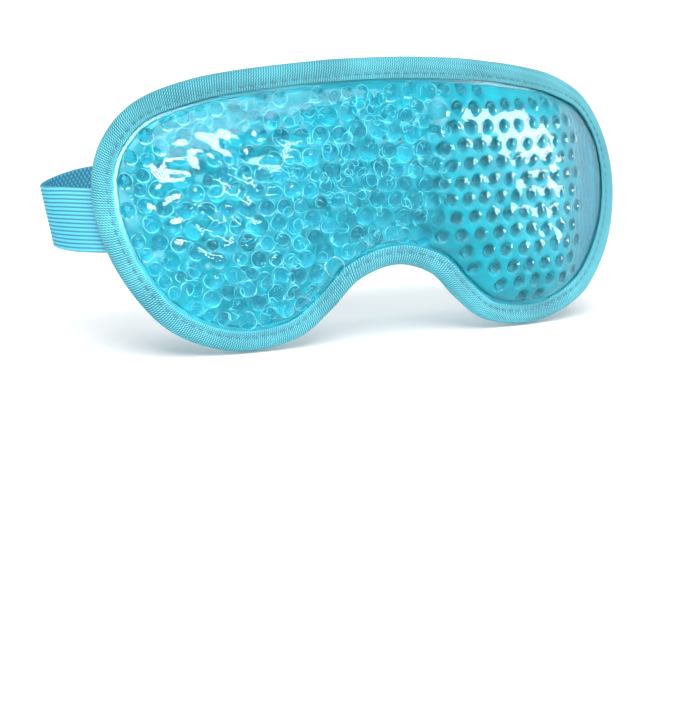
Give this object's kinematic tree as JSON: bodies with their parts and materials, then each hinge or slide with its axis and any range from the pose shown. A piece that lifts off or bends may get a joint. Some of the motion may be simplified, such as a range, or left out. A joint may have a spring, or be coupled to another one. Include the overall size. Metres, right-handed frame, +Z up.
{
  "type": "gel bead eye mask",
  "caption": "Worn eye pillow: a clear film bag of gel beads on a plush back, bound at the edge, with an elastic strap that fastens behind the head.",
  "frame": {"origin": "middle of the plush face side, at the centre line of the mask", "axes": "+X towards the viewer's right of the front, +Y from the front through the mask towards the head, +Z up as worn"},
  "size_m": [0.2294, 0.0633, 0.0964],
  "materials": {
    "front_film": "clear glossy soft PVC film",
    "rear_film": "clear soft PVC film, seen against the cloth",
    "gel_beads": "wet translucent gel beads",
    "plush": "short-pile plush",
    "binding_tape": "twill-woven binding tape",
    "thread": "spun polyester sewing thread",
    "ribbed_elastic": "ribbed woven elastic",
    "hook_tape": "nylon hook tape",
    "loop_tape": "brushed loop tape"
  },
  "bodies": {
    "pad": {"front_film": "front_film", "rear_film": "rear_film", "gel_bead_fill": "gel_beads", "plush_backing": "plush", "edge_binding": "binding_tape", "binding_front_thread": "thread", "binding_back_thread": "thread", "left_strap_base": "ribbed_elastic", "right_strap_base": "ribbed_elastic", "left_strap_seam_thread": "thread", "right_strap_seam_thread": "thread"},
    "left_strap": {"left_strap": "ribbed_elastic", "hook_patch": "hook_tape", "hook_patch_thread": "thread"},
    "right_strap": {"right_strap": "ribbed_elastic", "loop_patch": "loop_tape", "loop_patch_thread": "thread"}
  },
  "joints": [
    {"name": "left_strap_fold", "type": "hinge", "parent": "pad", "child": "left_strap", "pos_m": [-0.1145, 0.03035, 0], "axis": [0, 0, 1], "range_deg": [0, 120]},
    {"name": "right_strap_fold", "type": "hinge", "parent": "pad", "child": "right_strap", "pos_m": [0.1145, 0.03035, 0], "axis": [0, 0, -1], "range_deg": [0, 72]}
  ],
  "couplings": [
    {"joint": "right_strap_fold", "follows": "left_strap_fold", "ratio": 0.6}
  ]
}
